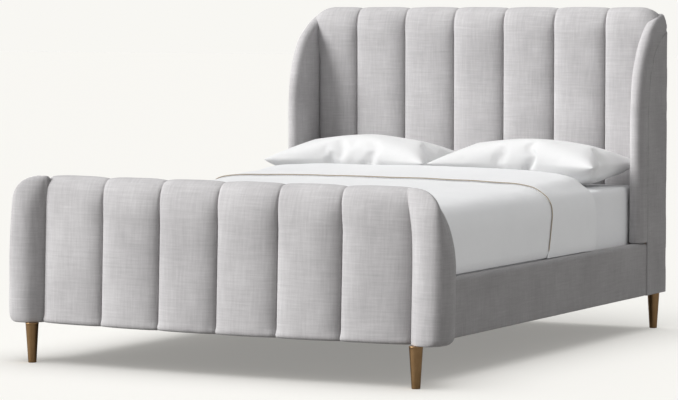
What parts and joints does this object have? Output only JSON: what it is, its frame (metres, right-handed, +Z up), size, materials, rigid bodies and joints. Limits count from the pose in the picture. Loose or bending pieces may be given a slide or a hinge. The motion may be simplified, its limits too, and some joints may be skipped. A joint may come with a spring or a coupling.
{
  "type": "sleigh bed",
  "caption": "Upholstered sleigh bed with a channelled wrap-around footboard, winged channelled headboard, padded rails, slats, tapered legs, mattress, duvet and pillows.",
  "frame": {"origin": "centre of the bounding box in plan, on the floor under the bed", "axes": "+X toward the right side seen from the foot, +Y from foot to head, +Z up"},
  "size_m": [1.82, 2.2954, 1.3284],
  "materials": {
    "upholstery_fabric": "woven, light warm greige, matte, soft sheen",
    "dust_cover_fabric": "plain non-woven backing cloth, matte",
    "timber": "plain sanded pine and plywood",
    "satin_brass": "satin bronzed brass",
    "plate_steel": "zinc-plated steel",
    "black_metal": "black powder coat",
    "foot_rubber": "black rubber",
    "mattress_fabric": "white fitted sheet",
    "duvet_cotton": "white cotton with a thin tan piping line",
    "pillow_cotton": "white cotton"
  },
  "bodies": {
    "frame": {"center_beam": "timber", "center_leg_1": "black_metal", "center_leg_2": "black_metal", "footboard_back_pad": "upholstery_fabric", "footboard_channel_1": "upholstery_fabric", "footboard_channel_2": "upholstery_fabric", "footboard_channel_3": "upholstery_fabric", "footboard_channel_4": "upholstery_fabric", "footboard_channel_5": "upholstery_fabric", "footboard_channel_6": "upholstery_fabric", "footboard_channel_7": "upholstery_fabric", "footboard_channel_8": "upholstery_fabric", "footboard_core": "timber", "footboard_return_left": "timber", "footboard_return_right": "timber", "headboard_back_cover": "dust_cover_fabric", "headboard_channel_1": "upholstery_fabric", "headboard_channel_2": "upholstery_fabric", "headboard_channel_3": "upholstery_fabric", "headboard_channel_4": "upholstery_fabric", "headboard_channel_5": "upholstery_fabric", "headboard_channel_6": "upholstery_fabric", "headboard_channel_7": "upholstery_fabric", "headboard_core": "timber", "headboard_side_cover_left": "upholstery_fabric", "headboard_side_cover_right": "upholstery_fabric", "headboard_wing_board_left": "timber", "headboard_wing_board_right": "timber", "headboard_wing_pad_left": "upholstery_fabric", "headboard_wing_pad_right": "upholstery_fabric", "leg_back_left": "satin_brass", "leg_back_right": "satin_brass", "leg_front_left": "satin_brass", "leg_front_right": "satin_brass", "rail_hook_plate_foot_left": "plate_steel", "rail_hook_plate_foot_right": "plate_steel", "rail_hook_plate_head_left": "plate_steel", "rail_hook_plate_head_right": "plate_steel", "side_rail_board_left": "timber", "side_rail_board_right": "timber", "side_rail_pad_left": "upholstery_fabric", "side_rail_pad_right": "upholstery_fabric", "slat_01": "timber", "slat_02": "timber", "slat_03": "timber", "slat_04": "timber", "slat_05": "timber", "slat_06": "timber", "slat_07": "timber", "slat_08": "timber", "slat_09": "timber", "slat_10": "timber", "slat_ledger_left": "timber", "slat_ledger_right": "timber"},
    "mattress": {"mattress": "mattress_fabric"},
    "duvet": {"duvet": "duvet_cotton"},
    "pillow_left": {"pillow_left": "pillow_cotton"},
    "pillow_right": {"pillow_right": "pillow_cotton"},
    "center_foot_1": {"center_leg_leveler_1": "foot_rubber"},
    "center_foot_2": {"center_leg_leveler_2": "foot_rubber"}
  },
  "joints": [
    {"name": "mattress_lift", "type": "slide", "parent": "frame", "child": "mattress", "axis": [0, 0, 1], "range_m": [0, 1.06]},
    {"name": "duvet_lift", "type": "slide", "parent": "mattress", "child": "duvet", "axis": [0, 0, 1], "range_m": [0, 0.45]},
    {"name": "pillow_left_lift", "type": "slide", "parent": "mattress", "child": "pillow_left", "axis": [0, 0, 1], "range_m": [0, 0.75]},
    {"name": "pillow_right_lift", "type": "slide", "parent": "mattress", "child": "pillow_right", "axis": [0, 0, 1], "range_m": [0, 0.75]},
    {"name": "center_leg_1_level", "type": "slide", "parent": "frame", "child": "center_foot_1", "axis": [0, 0, 1], "range_m": [0, 0.012]},
    {"name": "center_leg_2_level", "type": "slide", "parent": "frame", "child": "center_foot_2", "axis": [0, 0, 1], "range_m": [0, 0.012]}
  ]
}
